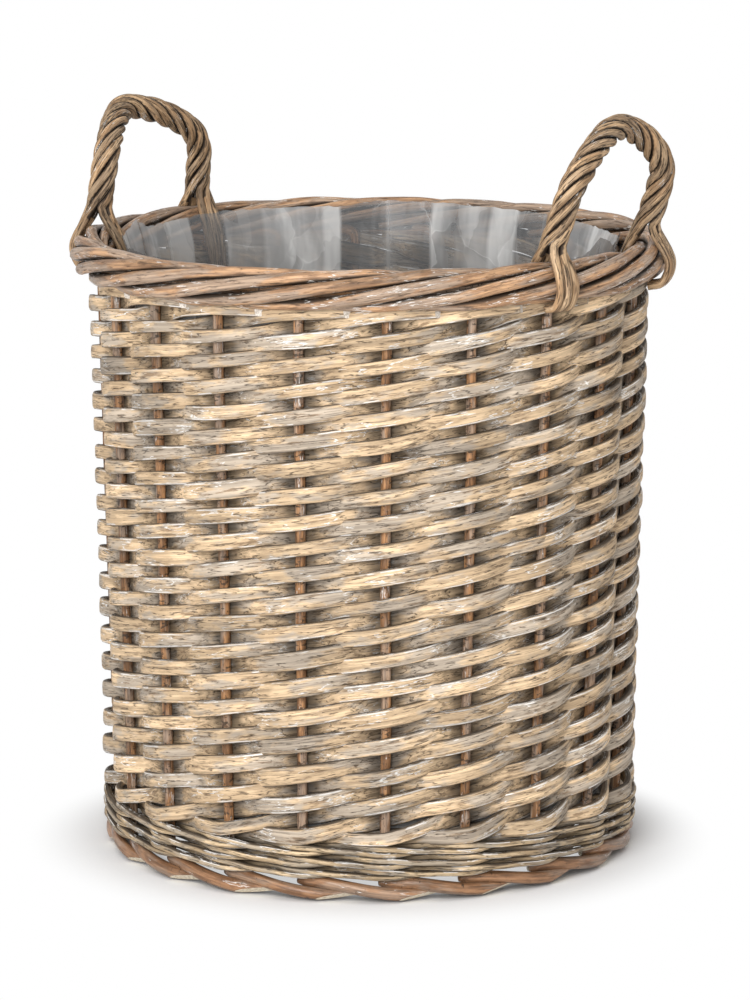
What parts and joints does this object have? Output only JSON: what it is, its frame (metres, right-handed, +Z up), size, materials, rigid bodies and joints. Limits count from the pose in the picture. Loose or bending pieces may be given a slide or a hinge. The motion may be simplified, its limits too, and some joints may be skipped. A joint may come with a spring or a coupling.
{
  "type": "wicker planter",
  "caption": "Round open-topped wicker planter with randed wall, rolled top border, waled and bordered foot, two roped side handles and a grey film liner.",
  "frame": {"origin": "centre of the basket on the floor plane", "axes": "+Z up; the two handles stand near +X and -X"},
  "size_m": [0.3993, 0.397, 0.5006],
  "materials": {
    "weaver": "washed, matt",
    "stake": "bark on, satin",
    "wale": "matt",
    "foot": "smooth bark, satin",
    "base": "matt",
    "handle": "bark on, matt",
    "liner": "thin translucent film"
  },
  "bodies": {
    "root": {"base_stick_01": "base", "base_stick_02": "base", "base_stick_03": "base", "base_stick_04": "base", "base_stick_05": "base", "base_weaver_01": "base", "base_weaver_02": "base", "foot_border": "foot", "handle_a_strand_01": "handle", "handle_a_strand_02": "handle", "handle_a_strand_03": "handle", "handle_a_strand_04": "handle", "handle_b_strand_01": "handle", "handle_b_strand_02": "handle", "handle_b_strand_03": "handle", "handle_b_strand_04": "handle", "liner": "liner", "stake_01": "stake", "stake_02": "stake", "stake_03": "stake", "stake_04": "stake", "stake_05": "stake", "stake_06": "stake", "stake_07": "stake", "stake_08": "stake", "stake_09": "stake", "stake_10": "stake", "stake_11": "stake", "stake_12": "stake", "stake_13": "stake", "stake_14": "stake", "stake_15": "stake", "stake_16": "stake", "stake_17": "stake", "stake_18": "stake", "stake_19": "stake", "stake_20": "stake", "wale_rod_01": "wale", "wale_rod_02": "wale", "wale_rod_03": "wale", "weaver_01": "weaver", "weaver_02": "weaver", "weaver_03": "weaver", "weaver_04": "weaver", "weaver_05": "weaver", "weaver_06": "weaver", "weaver_07": "weaver", "weaver_08": "weaver", "weaver_09": "weaver", "weaver_10": "weaver", "weaver_11": "weaver", "weaver_12": "weaver", "weaver_13": "weaver", "weaver_14": "weaver", "weaver_15": "weaver", "weaver_16": "weaver", "weaver_17": "weaver", "weaver_18": "weaver", "weaver_19": "weaver", "weaver_20": "weaver"}
  },
  "joints": []
}
